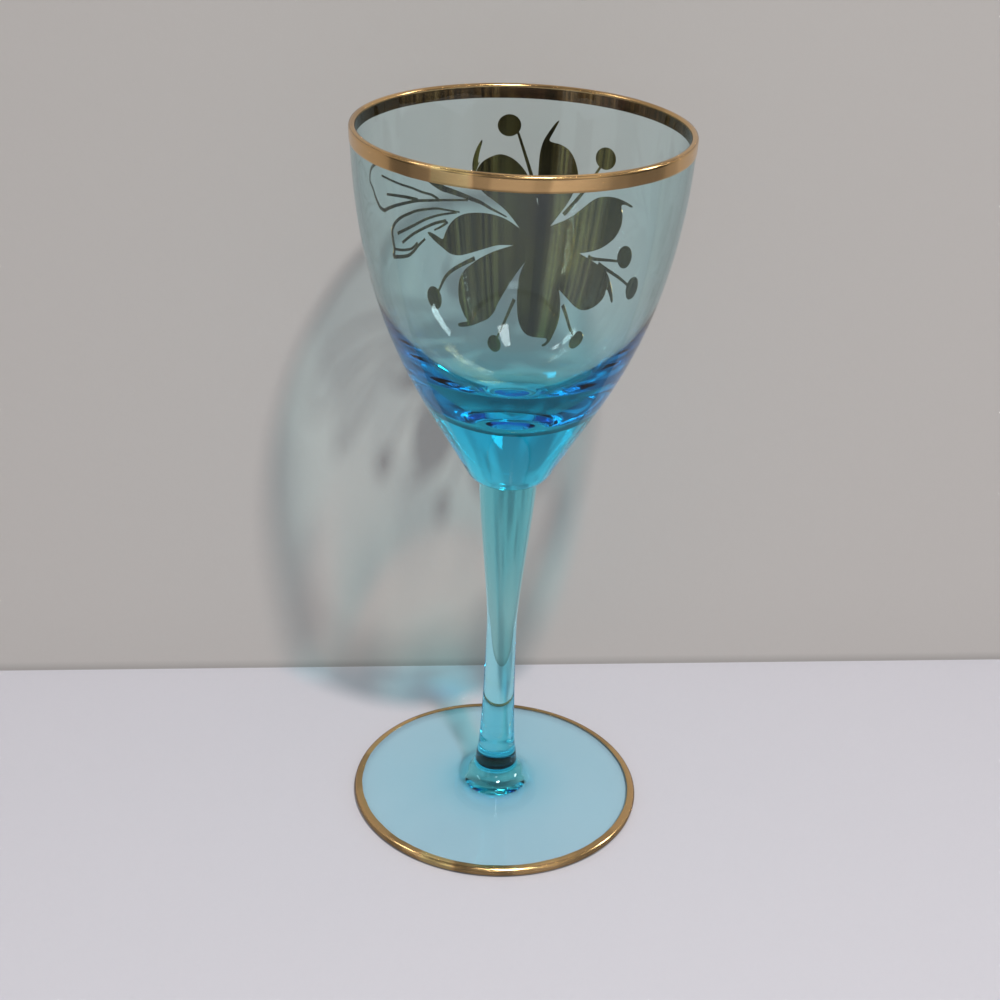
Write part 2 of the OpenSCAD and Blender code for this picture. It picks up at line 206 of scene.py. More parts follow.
# How far the other curves lean on their ends, as shares of their own width or height
PLATE_LEAD = (0.18, 0.4)
BOSS_FALL, BOSS_LEAD = np.array([1, -0.65]), 0.353
NECK_LEAD, NECK_TOP_LEAD = 0.525, 0.41
STEM_END_LEAD = 0.25
SHANK_LEAD, WAIST_LEAD = 0.2, 0.33
TRUMPET_LEAD = 0.19
THIN_LEAD, FLOOR_LEAD = 0.5, 0.54
# How much of each corner between two curves is rounded
CORNER = 0.45 * MM


def wall_line(glass, steps=64):
    """The outside of the bowl, from the cone above the stem to the lip."""
    top = np.array([RIM_R, RIM_Z - glass.wall / 2])
    return bend(
        CONE_START,
        CONE_START + BOWL_H * CONE_LEAD * np.array([CONE_SLOPE, 1]),
        top - BOWL_H * LIP_LEAD * np.array([LIP_LEAN, 1]),
        top,
        steps,
    )


def plate_line(glass, steps=26):
    """The top of the foot, from the boss out to the round edge, and the way it sets off."""
    start = np.array([glass.plate / 2, glass.plate_height])
    end = np.array([FOOT_R - glass.foot_edge / 2, glass.foot_edge])
    lead = (end - start) * PLATE_LEAD
    return bend(start, start + lead, ((start[0] + end[0]) / 2, end[1]), end, steps), lead


def outside_radius(glass):
    """A function that gives the bowl's outer radius at a height."""
    line = wall_line(glass)
    return lambda z: np.interp(z, line[:, 1], line[:, 0])


def glass_profile(glass):
    """The whole skin from the middle of the underside round to the middle of the bowl's floor."""
    edge = glass.foot_edge / 2
    edge_mid = np.array([FOOT_R - edge, edge])
    rest = np.array([edge_mid[0] - glass.rest_ring, 0])
    under = bend((0, glass.hollow), (rest[0] / 2, glass.hollow),
                 (rest[0] - glass.rest_ring * 3, 0), rest, 22)
    ring = np.array([rest, (rest[0] + glass.rest_ring / 2, 0), (edge_mid[0], 0)])
    plate, lead = plate_line(glass)
    plate = plate[::-1]
    boss = np.array([glass.boss / 2, glass.boss_height])
    run_out = bend(plate[-1], plate[-1] - lead / 2,
                   boss + BOSS_FALL * (plate[-1, 0] - boss[0]) * BOSS_LEAD, boss, 14)
    end_r, waist_r, top_r = glass.stem_end / 2, glass.waist / 2, glass.stem_top / 2
    neck = bend(boss, boss - BOSS_FALL * (boss[0] - end_r) * NECK_LEAD,
                (end_r, SEAT_Z - (SEAT_Z - boss[1]) * NECK_TOP_LEAD), (end_r, SEAT_Z), 18)
    shank_r = waist_r + (end_r - waist_r) * 2 / 3
    end_z = SEAT_Z + glass.stem_end_height
    stem_end = bend((end_r, SEAT_Z), (end_r, SEAT_Z + glass.stem_end_height / 2),
                    (shank_r, end_z - glass.stem_end_height * STEM_END_LEAD), (shank_r, end_z), 8)
    shank_h, trumpet_h = glass.waist_height - end_z, JOINT_Z - glass.waist_height
    shank = bend((shank_r, end_z), (waist_r + (shank_r - waist_r) / 3, end_z + shank_h * SHANK_LEAD),
                 (waist_r, glass.waist_height - shank_h * WAIST_LEAD), (waist_r, glass.waist_height), 24)
    trumpet = bend((waist_r, glass.waist_height), (waist_r, glass.waist_height + trumpet_h * TRUMPET_LEAD),
                   (top_r, JOINT_Z - trumpet_h * TRUMPET_LEAD), (top_r, JOINT_Z), 26)
    corner = np.array([CONE_START[0] - (CONE_START[1] - JOINT_Z) * CONE_SLOPE, JOINT_Z])
    shoulder = bend((top_r, JOINT_Z), (np.array([top_r, JOINT_Z]) + 2 * corner) / 3,
                    (CONE_START + 2 * corner) / 3, CONE_START, 10)
    outer = wall_line(glass)
    lip = turn((RIM_R - glass.wall / 2, RIM_Z - glass.wall / 2), glass.wall / 2, 0, 180, 12)
    floor_z = JOINT_Z + glass.base
    thin_z = floor_z + glass.floor_round
    radius = outside_radius(glass)
    thin_r = radius(thin_z) - glass.wall
    slope = (radius(thin_z + glass.wall) - radius(thin_z - glass.wall)) / (2 * glass.wall)
    inner = outer[outer[:, 1] > thin_z + glass.wall / 2][::-1] - [glass.wall, 0]
    thin = np.array([thin_r, thin_z])
    floor = bend(thin, thin - glass.floor_round * THIN_LEAD * np.array([slope, 1]),
                 (thin_r * FLOOR_LEAD, floor_z), (0, floor_z), 34)
    return joined(
        [under, ring, turn(edge_mid, edge, -90, 90, 14), plate, run_out, neck, stem_end, shank, trumpet,
         shoulder, outer, lip, np.concatenate([inner, thin[None]]), floor],
        round_off=CORNER,
    )


# Edges that fold more than this stay crisp
CRISP = math.radians(50)


def finished(name, mesh, materials, slot, *nodes):
    """Links a piece, gives it its finishes and hides the CAD parts it stands for."""
    mesh.shade_smooth()
    mesh.set_sharp_from_angle(angle=CRISP)
    piece = bpy.data.objects.new(name, mesh)
    bpy.context.scene.collection.objects.link(piece)
    for material in materials:
        mesh.materials.append(material)
    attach(piece, BODY)
    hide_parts(*nodes)


def turned_body(name, profile, segments, ripple=0.0, ripple_from=0):
    """A closed mesh turned from a profile whose ends lie on the axis."""
    angles = np.linspace(0, 2 * math.pi, segments, endpoint=False)
    verts = [(0, 0, profile[0, 1])]
    rings = profile[1:-1]
    for i, (r, z) in enumerate(rings):
        fade = 0.0
        if i >= ripple_from:
            fade = min(1, (i - ripple_from) / 12) * min(1, (len(rings) - 1 - i) / 12)
        for a in angles:
            x, y = math.cos(a), math.sin(a)
            swell = ripple * fade * noise.noise(Vector((x * 1.7, y * 1.7, z * 60))) if fade else 0.0
            verts.append(((r + swell) * x, (r + swell) * y, z))
    verts.append((0, 0, profile[-1, 1]))
    faces = []
    for j in range(segments):
        k = (j + 1) % segments
        faces.append((0, 1 + k, 1 + j))
        for i in range(len(rings) - 1):
            a, b = 1 + i * segments, 1 + (i + 1) * segments
            faces.append((a + j, a + k, b + k, b + j))
        last = 1 + (len(rings) - 1) * segments
        faces.append((last + j, last + k, len(verts) - 1))
    mesh = bpy.data.meshes.new(name)
    mesh.from_pydata(verts, [], faces)
    mesh.validate()
    return mesh


# Gold


def stations(line, steps):
    """Points spread evenly along a line, each with its outward direction."""
    length = np.concatenate([[0], np.cumsum(np.linalg.norm(np.diff(line, axis=0), axis=1))])

    def at(start):
        s = np.linspace(start, length[-1], steps + 1)
        p = np.stack([np.interp(s, length, line[:, 0]), np.interp(s, length, line[:, 1])], 1)
        along = np.gradient(p, axis=0)
        along /= np.linalg.norm(along, axis=1)[:, None]
        return p, along

    return at


# How much of its full thickness the gold has at its very edge, one step in from there, and in the flower
EDGE_PROUD, NEXT_PROUD, FLOWER_PROUD = 0.2, 0.8, 0.6


def gold_ring(name, line, side, gold, segments, waver, steps=22):
    """A film of gold round the axis. The line runs from the brushed edge, and side says which way is out."""
    at = stations(line, steps)
    verts, faces, finishes = [], [], []
    for j in range(segments):
        a = 2 * math.pi * j / segments
        x, y = math.cos(a), math.sin(a)
        sway = noise.noise(Vector((x * 5, y * 5, 3.1))) + 0.5 * noise.noise(Vector((x * 17, y * 17, 7.3)))
        p, along = at(waver * (1 + sway))
        out = np.stack([along[:, 1], -along[:, 0]], 1) * side
        proud = np.full(len(p), gold.proud)
        proud[0] = proud[-1] = gold.proud * EDGE_PROUD
        proud[1] = proud[-2] = gold.proud * NEXT_PROUD
        face, back = p + out * proud[:, None], p - out * gold.sunk
        for r, z in np.concatenate([face, back[::-1]]):
            verts.append((r * x, r * y, z))
    row = 2 * (steps + 1)
    for j in range(segments):
        k = (j + 1) % segments
        for i in range(row):
            n = (i + 1) % row
            quad = (j * row + i, k * row + i, k * row + n, j * row + n)
            faces.append(quad if side > 0 else quad[::-1])
            finishes.append(0 if i < steps or i in (steps, row - 1) else 1)
    mesh = bpy.data.meshes.new(name)
    mesh.from_pydata(verts, [], faces)
    mesh.polygons.foreach_set("material_index", finishes)
    return mesh


# Thickness of a gold film in the CAD model, how much each patch is thicker than the one laid before it, and
# how close two points are that count as one
CAD_FILM, PATCH_STEP, SAME_PLACE = 0.12 * MM, 0.002 * MM, 0.002 * MM


def unrolled(node, radius):
    """The outer face of a film of gold, laid flat: along the wall from the +Y line, and up."""
    flat = bmesh.new()
    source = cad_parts[node].data
    for polygon in source.polygons:
        corners = [source.vertices[i].co for i in polygon.vertices]
        if all(math.hypot(c.x, c.y) - radius(c.z) > CAD_FILM / 2 for c in corners):
            flat.faces.new([flat.verts.new((math.atan2(c.x, c.y) * RIM_R, c.z, 0)) for c in corners])
    bmesh.ops.remove_doubles(flat, verts=flat.verts, dist=SAME_PLACE)
    bmesh.ops.recalc_face_normals(flat, faces=flat.faces)
    bmesh.ops.dissolve_limit(flat, angle_limit=math.radians(1), verts=flat.verts, edges=flat.edges)
    return flat


def gold_patch(name, node, glass, gold, rise):
    """A brushed patch of gold that follows the round wall, as a thin closed film.

    Each is thicker by rise than the one laid before it, so that films that cross never share a face."""
    radius = outside_radius(glass)
    flat = unrolled(node, radius)
    xs = [v.co.x for v in flat.verts]
    ys = [v.co.y for v in flat.verts]
    for axis, low, high in ((0, min(xs), max(xs)), (1, min(ys), max(ys))):
        for k in range(math.ceil(low / gold.grid), math.floor(high / gold.grid) + 1):
            place, normal = [0, 0, 0], [0, 0, 0]
            place[axis], normal[axis] = k * gold.grid, 1
            bmesh.ops.bisect_plane(
                flat, geom=flat.verts[:] + flat.edges[:] + flat.faces[:], plane_co=place, plane_no=normal)
    bmesh.ops.triangulate(flat, faces=[f for f in flat.faces if len(f.verts) > 4])
    if flat.faces[:] and flat.faces[:][0].normal.z < 0:
        bmesh.ops.reverse_faces(flat, faces=flat.faces)
    flat.verts.index_update()

    def lift(v, height):
        a, r = v.co.x / RIM_R, radius(v.co.y) + height
        return (r * math.sin(a), r * math.cos(a), v.co.y)

    count = len(flat.verts)
    verts = [lift(v, gold.proud * FLOWER_PROUD + rise) for v in flat.verts]
    verts += [lift(v, -gold.sunk - rise) for v in flat.verts]
    faces = [[v.index for v in f.verts][::-1] for f in flat.faces]
    finishes = [0] * len(faces)
    faces += [[v.index + count for v in f.verts] for f in flat.faces]
    finishes += [1] * (len(faces) - len(finishes))
    for edge in flat.edges:
        if edge.is_boundary:
            loop = edge.link_loops[0]
            a, b = loop.vert.index, loop.link_loop_next.vert.index
            faces.append((a, b, b + count, a + count))
            finishes.append(0)
    flat.free()
    mesh = bpy.data.meshes.new(name)
    mesh.from_pydata(verts, [], faces)
    mesh.polygons.foreach_set("material_index", finishes)
    return mesh


# Finishes


class Finish:
    """A node tree that is put together node by node: a new material's, or the world's."""

    def __init__(self, name, world=None):
        self.owner = world or bpy.data.materials.new(name)
        self.owner.use_nodes = True
        self.tree = self.owner.node_tree
        self.tree.nodes.clear()

    def add(self, kind, inputs=None, **settings):
        """Adds a node. A value in inputs is a number or another node's socket."""
        node = self.tree.nodes.new("ShaderNode" + kind)
        for key, value in settings.items():
            setattr(node, key, value)
        for key, value in (inputs or {}).items():
            if isinstance(value, bpy.types.NodeSocket):
                self.tree.links.new(value, node.inputs[key])
            else:
                node.inputs[key].default_value = value
        return node

    def place(self, scale=(1, 1, 1)):
        """Where a point is on the piece, in its own metres, stretched by scale."""
        where = self.add("TexCoord").outputs["Object"]
        return self.add("Mapping", {"Vector": where, "Scale": scale}).outputs[0]

    def along(self, axis, vector=None):
        """How far a point, or a direction, reaches along the axis 0, 1 or 2."""
        vector = self.place() if vector is None else vector
        return self.add("SeparateXYZ", {0: vector}).outputs[axis]

    def math(self, kind, a, b, c=0.0):
        """Works out a third number from two, or from three."""
        return self.add("Math", {0: a, 1: b, 2: c}, operation=kind).outputs[0]

    def vector(self, kind, a, b):
        """Works out a vector from two."""
        return self.add("VectorMath", {0: a, 1: b}, operation=kind).outputs[0]

    def dot(self, a, b):
        """How far one vector reaches along another."""
        return self.add("VectorMath", {0: a, 1: b}, operation="DOT_PRODUCT").outputs["Value"]

    def around(self):
        """The direction of a point from the upright axis, the same at every height."""
        flat = self.vector("MULTIPLY", self.place(), (1, 1, 0))
        return self.add("VectorMath", {0: flat}, operation="NORMALIZE").outputs[0]

    def grain(self, vector, scale, detail=2.0, roughness=0.5):
        """Soft random spots from 0 to 1."""
        settings = {"Vector": vector, "Scale": scale, "Detail": detail, "Roughness": roughness}
        return self.add("TexNoise", settings).outputs[0]

    def ramp(self, value, *stops):
        """Turns a number into a colour or another number along its stops."""
        node = self.add("ValToRGB", {0: value})
        elements = node.color_ramp.elements
        while len(elements) < len(stops):
            elements.new(0.5)
        for element, (position, colour) in zip(elements, stops):
            element.position = position
            element.color = (*colour[:3], 1) if hasattr(colour, "__len__") else (colour, colour, colour, 1)
        return node.outputs[0]

    def slope(self, value, low, high, start=0.0, end=1.0):
        """Goes from start at low to end at high, and stays level outside them."""
        return self.add("MapRange", {0: value, 1: low, 2: high, 3: start, 4: end}).outputs[0]

    def spread(self, value, low, high):
        """Spreads a number from 0..1 over low..high."""
        return self.slope(value, 0.0, 1.0, low, high)

    def blend(self, amount, a, b, mode="MIX"):
        """Mixes two colours."""
        return self.add("Mix", {0: amount, 6: a, 7: b}, data_type="RGBA", blend_type=mode).outputs[2]

    def times(self, a, b):
        """Multiplies two colours."""
        return self.blend(1.0, a, b, "MULTIPLY")

    def bump(self, height, strength, distance):
        """The surface's direction where a grain makes it uneven."""
        return self.add("Bump", {"Height": height, "Strength": strength, "Distance": distance}).outputs[0]

    def done(self, surface, volume=None):
        """Ends a material with its surface and, for glass, what fills it."""
        out = self.add("OutputMaterial", {"Surface": surface})
        if volume is not None:
            self.tree.links.new(volume, out.inputs["Volume"])
        return self.owner


def toned(colour, by=1.0):
    """A colour made darker or paler, by one number or by one for each of red, green and blue."""
    by = by if hasattr(by, "__len__") else (by, by, by)
    return (*(c * k for c, k in zip(colour, by)), 1)


# The lamp, the point it is aimed at, and the direction from the bowl's base up to the lamp
LAMP_PLACE = (0.12, -0.33, 0.70)
LAMP_TARGET = (0, 0, 0.06)
LAMP_WAY = (0.12, -0.33, 0.62)
LAMP_SIZE = 0.045
LAMP_COLOUR = (1.0, 0.985, 0.96)

# What a ray of the lamp keeps at each surface of the glass, where it meets it straight and where it grazes it
STRAIGHT_PASS, GRAZING_PASS = (0.905, 0.925, 0.93, 1), (0.42, 0.49, 0.51, 1)
# How curved glass gathers and spreads that light, which plain shadow rays can't show: a factor each
SWIRL_GAIN = (1.07, 1.075, 1.07, 1)
FOOT_GAIN, STEM_GAIN = (1.12, 1.06, 1.09, 1), (1.6, 0.99, 0.89, 1)
BASE_EDGE_GAIN, BASE_MIDDLE_GAIN = (2.9, 1.04, 0.91, 1), (2.7, 1.38, 1.25, 1)
BOWL_MIDDLE_GAIN, BOWL_EDGE_GAIN = (0.95, 0.90, 0.89, 1), (2.4, 1.06, 0.94, 1)
NO_GAIN = (1, 1, 1, 1)


def shadow_of_glass(f, glass):
    """The soft coloured shadow: how much light each surface lets through, with swirls of brighter light."""
    facing = f.add("LayerWeight", {"Blend": 0.5}).outputs["Facing"]
    height = f.along(2)
    above_foot = f.slope(height, SEAT_Z, SEAT_Z * 1.2)
    passed = f.blend(f.ramp(facing, (0.35, 0.0), (0.95, 1.0)), STRAIGHT_PASS, GRAZING_PASS)
    # The swirls are the same all along a ray from the lamp, so that all walls add to one pattern
    ray = f.vector("PROJECT", f.place(), LAMP_WAY)
    across = f.vector("SUBTRACT", f.place(), ray)
    drawn_out = {"Vector": across, "Scale": (1, 0.6, 0.35), "Rotation": (0, 0.35, 0)}
    across = f.add("Mapping", drawn_out).outputs[0]
    swirl = f.ramp(f.grain(across, 120, 2, 0.6), (0.44, 0.0), (0.60, 1.0))
    passed = f.blend(f.math("MULTIPLY", swirl, above_foot), passed, SWIRL_GAIN)
    in_base = f.slope(height, JOINT_Z * 0.8, JOINT_Z)
    in_bowl = f.slope(height, JOINT_Z + glass.base * 0.9, JOINT_Z + glass.base * 1.2)
    in_thin_wall = f.slope(height, JOINT_Z + glass.base * 1.2, JOINT_Z + glass.base * 2.6)
    base = f.blend(f.ramp(facing, (0.12, 1.0), (0.42, 0.0)), BASE_EDGE_GAIN, BASE_MIDDLE_GAIN)
    bowl = f.blend(f.ramp(facing, (0.35, 0.0), (0.75, 1.0)), BOWL_MIDDLE_GAIN, BOWL_EDGE_GAIN)
    bowl = f.blend(in_thin_wall, bowl, NO_GAIN)
    gain = f.blend(above_foot, FOOT_GAIN, STEM_GAIN)
    gain = f.blend(in_base, gain, base)
    gain = f.blend(in_bowl, gain, bowl)
    return f.add("BsdfTransparent", {"Color": f.times(passed, gain)}).outputs[0]


def aqua_glass(glass):
    """Clear aqua glass that is deeper where it is thick, with faint streaks and a soft coloured shadow."""
    f = Finish("aqua_glass")
    cloud = f.grain(f.place(), 90, 3)
    streak = f.grain(f.place((900, 900, 60)), 1, 2)
    unevenness = f.grain(f.place((1, 1, 0.5)), 110, 1)
    body = f.add("BsdfPrincipled", {
        "Base Color": f.ramp(cloud, (0.3, (0.95, 0.985, 0.99)), (0.7, (0.98, 0.995, 1.0))),
        "Roughness": f.spread(streak, 0.0, 0.035),
        "IOR": 1.5,
        "Transmission Weight": 1.0,
        "Normal": f.bump(unevenness, 0.05, 0.3 * MM),
    })
    is_shadow = f.add("LightPath").outputs["Is Shadow Ray"]
    surface = f.add("MixShader", {0: is_shadow, 1: body.outputs[0], 2: shadow_of_glass(f, glass)})
    depth = f.add("VolumeAbsorption", {"Color": toned(glass.tint), "Density": glass.depth_of_tint})
    return f.done(surface.outputs[0], depth.outputs[0])


# Painted reflections of the room on the gold: the angle in degrees from the front round to +X where the tone
# changes, and the new tone
PAINTED_REFLECTIONS = (
    (-165, 0.75), (-140, 1.05), (-105, 0.7), (-80, 0.9), (-46, 0.62), (-37, 0.9), (-29, 1.5), (-15, 0.62),
    (-9, 0.92), (3, 0.7), (9, 1.2), (28, 0.9), (35, 0.68), (58, 0.95), (120, 0.7))
# Half the width in which one tone runs into the next, and the most that a tone may be
TONE_EDGE, TONE_MOST = 0.002, 2


def gold_face(name, gold, blocks):
    """Fired gold from outside, with painted reflections of the room: stretches round the axis and soft
    patches, some darker and some paler, with a faint brush grain.
    """
    f = Finish(name)
    brush = f.grain(f.place((500, 500, 1500)), 1, 3)
    speck = f.grain(f.place(), 2500, 2)
    patch = f.grain(f.around(), blocks, 2, 0.6)
    sway = f.spread(f.grain(f.place(), 260, 1), -0.03, 0.03)
    # Painted reflections: the tone changes with the angle round the axis, in the stretches listed above
    angle = f.math("ARCTAN2", f.along(0), f.math("SUBTRACT", 0.0, f.along(1)))
    turned = f.slope(f.math("ADD", angle, sway), -math.pi, math.pi)
    stops, tone = [], PAINTED_REFLECTIONS[-1][1]
    for start, next_tone in PAINTED_REFLECTIONS:
        edge = start / 360 + 0.5
        stops.append((max(0, edge - TONE_EDGE), tone / TONE_MOST))
        stops.append((edge + TONE_EDGE, next_tone / TONE_MOST))
        tone = next_tone
    reflected_tones = f.times(f.ramp(turned, *stops), (TONE_MOST, TONE_MOST, TONE_MOST, 1))
    colour = f.times(toned(gold.face), reflected_tones)
    # Soft patches round the axis, painted darker: more painted reflections of the room
    colour = f.blend(f.spread(patch, 0.0, 0.3), colour, toned(gold.face, 0.6))
    colour = f.blend(f.spread(brush, 0.0, 0.2), colour, toned(gold.face, 0.75))
    body = f.add("BsdfPrincipled", {
        "Base Color": colour,
        "Metallic": 1.0,
        "Roughness": f.spread(brush, 0.13, 0.24),
        "Normal": f.bump(speck, 0.12, 0.05 * MM),
    })
    return f.done(body.outputs[0])


OLIVE, BROWN = (0.260, 0.190, 0.070), (0.130, 0.066, 0.030)
# How much paler or redder the underside is on the lines and on the thin curl than on the flower
LINE_LIFT, CURL_LIFT = (1.1, 0.75, 0.8), (2.2, 2.6, 2.4)
# The underside is painted paler, as a painted reflection, on the side of the flower that faces +X: where it
# begins, and by how much
SHEEN_FROM, SHEEN_TO, SHEEN_GAIN = 2 * MM, 12 * MM, (1.6, 1.55, 1.5, 1)


def gold_back(name, gold, blocks, lift=(1, 1, 1)):
    """Fired gold seen through the glass: dark, with olive and brown patches, and with upright streaks and a
    paler +X side that are painted reflections.
    """
    f = Finish(name)
    streak = f.grain(f.around(), 38, 4, 0.7)
    patch = f.grain(f.place((1, 1, 0.45)), blocks, 2, 0.55)
    base, olive, brown = (toned(colour, lift) for colour in (gold.back, OLIVE, BROWN))
    colour = f.ramp(patch, (0.35, brown), (0.47, base), (0.60, base), (0.72, olive))
    # Upright streaks round the axis, painted darker and paler: painted reflections of the room
    colour = f.blend(f.ramp(streak, (0.40, 0.9), (0.52, 0.0)), colour, toned(base, 0.25))
    colour = f.blend(f.ramp(streak, (0.54, 0.0), (0.64, 0.7)), colour, toned(olive, 1.6))
    # Painted reflection: paler on the side that faces +X
    colour = f.blend(f.slope(f.along(0), SHEEN_FROM, SHEEN_TO), colour, f.times(colour, SHEEN_GAIN))
    body = f.add("BsdfPrincipled", {
        "Base Color": colour,
        "Metallic": 0.85,
        "Roughness": f.spread(streak, 0.06, 0.2),
        "Normal": f.bump(streak, 0.15, 0.05 * MM),
    })
    return f.done(body.outputs[0])


def shared(make, name, *rest):
    """The finish of that name, made once."""
    return bpy.data.materials.get(name) or make(name, *rest)


def line_finishes(gold):
    """The outer and the under side of the gold on the rim and on the foot."""
    return [shared(gold_face, "gold_line_face", gold, 4.0),
            shared(gold_back, "gold_line_back", gold, 160, LINE_LIFT)]


# Operators


class CORDIAL_OT_glass(bpy.types.Operator):
    """Turns the bowl, the stem and the foot as one clear body"""

    bl_idname = "cordial.glass"
    bl_label = "Glass Body"

    def execute(self, context):
        glass = context.scene.cordial_glass
        profile = glass_profile(glass)
        lip = int(np.argmax(profile[:, 1]))
        mesh = turned_body("glass_body", profile, glass.segments, glass.ripple, lip + 8)
        finished("glass_body", mesh, [aqua_glass(glass)], "aqua_glass", "bowl", "stem", "foot")
        return {"FINISHED"}


class CORDIAL_OT_rim_band(bpy.types.Operator):
    """Lays the gold band on the rim, over the lip"""

    bl_idname = "cordial.rim_band"
    bl_label = "Rim Band"

    def execute(self, context):
        glass, gold = context.scene.cordial_glass, context.scene.cordial_gold
        outer = wall_line(glass, 200)
        low = RIM_Z - gold.rim_band
        start = np.array([np.interp(low, outer[:, 1], outer[:, 0]), low])
        lip = turn((RIM_R - glass.wall / 2, RIM_Z - glass.wall / 2), glass.wall / 2, 0, 178, 24)
        line = np.concatenate([start[None], outer[outer[:, 1] > low], lip[1:]])
        mesh = gold_ring("gold_rim_band", line, 1, gold, glass.segments, 0.05 * MM, 26)
        finished("gold_rim_band", mesh, line_finishes(gold), "gold_line", "rim_band")
        return {"FINISHED"}


class CORDIAL_OT_foot_line(bpy.types.Operator):
    """Lays the gold line round the edge of the foot"""

    bl_idname = "cordial.foot_line"
    bl_label = "Foot Line"

    def execute(self, context):
        glass, gold = context.scene.cordial_glass, context.scene.cordial_gold
        edge = glass.foot_edge / 2
        top, _ = plate_line(glass, 200)
        start_r = FOOT_R - edge - gold.foot_line
        line = np.concatenate([
            [[start_r, np.interp(start_r, top[:, 0], top[:, 1])]],
            top[top[:, 0] > start_r],
            turn((FOOT_R - edge, edge), edge, 90, -48, 24)[1:]])
        mesh = gold_ring("gold_foot_line", line, -1, gold, glass.segments, 0.12 * MM)
        finished("gold_foot_line", mesh, line_finishes(gold), "gold_line", "foot_line")
        return {"FINISHED"}


def lay_patches(context, nodes, back="gold_flower_back", lift=(1, 1, 1)):
    """Lays one patch of gold for each of these nodes, each a hair thicker than the last."""
    glass, gold = context.scene.cordial_glass, context.scene.cordial_gold
    for i, node in enumerate(nodes):
        name = "gold_" + node
        mesh = gold_patch(name, node, glass, gold, i * PATCH_STEP)
        finishes = [shared(gold_face, "gold_flower_face", gold, 3.0),
                    shared(gold_back, back, gold, 120, lift)]
        finished(name, mesh, finishes, "gold_flower", node)


class CORDIAL_OT_flower(bpy.types.Operator):
    """Lays the flower's heart, petals and side curl on the wall"""

    bl_idname = "cordial.flower"
    bl_label = "Flower"

    def execute(self, context):
        lay_patches(context, PETALS)
        lay_patches(context, CURLS, "gold_curl_back", CURL_LIFT)
        return {"FINISHED"}


class CORDIAL_OT_stamens(bpy.types.Operator):
    """Lays the stamens round the flower"""

    bl_idname = "cordial.stamens"
    bl_label = "Stamens"

    def execute(self, context):
        lay_patches(context, STAMENS)
        return {"FINISHED"}


class CORDIAL_OT_leaves(bpy.types.Operator):
    """Lays the two drawn leaves beside the flower"""

    bl_idname = "cordial.leaves"
    bl_label = "Leaves"

    def execute(self, context):
        lay_patches(context, LEAVES)
        return {"FINISHED"}


# Table, wall, light and camera


def plain_sheet(name, corners, material):
    """A flat sheet of the stage, which isn't part of the object."""
    mesh = bpy.data.meshes.new(name)
    mesh.from_pydata(corners, [], [(0, 1, 2, 3)])
    sheet = bpy.data.objects.new(name, mesh)
    bpy.context.scene.collection.objects.link(sheet)
    mesh.materials.append(material)


# The table's tone in mirrors, far from the glass and near it, and where along Y the one runs into the other
MIRRORED_FAR, MIRRORED_NEAR = 0.80, 0.36
MIRROR_FROM, MIRROR_TO = -0.32, -0.2


def table_finish(stage):
    """A pale table top, darker where shiny things mirror it, because the real room shades it there."""
    f = Finish("table_top")
    fleck = f.grain(f.place(), 900, 4)
    cloud = f.grain(f.place(), 9, 2)
    colour = f.blend(f.spread(cloud, 0.0, 0.12), toned(stage.table), toned(stage.table, 0.9))
    path = f.add("LightPath").outputs
    mirrored = f.math("GREATER_THAN", path["Is Glossy Ray"], path["Is Transmission Ray"])
    nearness = f.slope(f.along(1), MIRROR_FROM, MIRROR_TO)
    dim = f.blend(nearness, toned(stage.table, MIRRORED_FAR), toned(stage.table, MIRRORED_NEAR))
    body = f.add("BsdfPrincipled", {
        "Base Color": f.blend(mirrored, colour, dim),
        "Roughness": f.spread(fleck, 0.6, 0.8),
        "Specular IOR Level": 0.2,
        "Normal": f.bump(fleck, 0.1, 0.05 * MM),
    })
    return f.done(body.outputs[0])


# The heights between which the wall shows through the solid base of the bowl, and the painted light there:
# brighter and bluer, for the light that the base gathers
BEHIND_BASE = (0.058, 0.070, 0.100, 0.112)
BEHIND_BASE_LIGHT = (1.0, 1.42, 1.6)
# The wall's painted shade in reflections inside the glass, and the heights over which that sets in
INNER_SHADE, INNER_FROM, INNER_TO = 0.50, 0.045, 0.060
# The wall's painted shade high up, and the painted shadow in the gap at its foot
HIGH_SHADE, GAP_SHADE = 0.76, 0.5


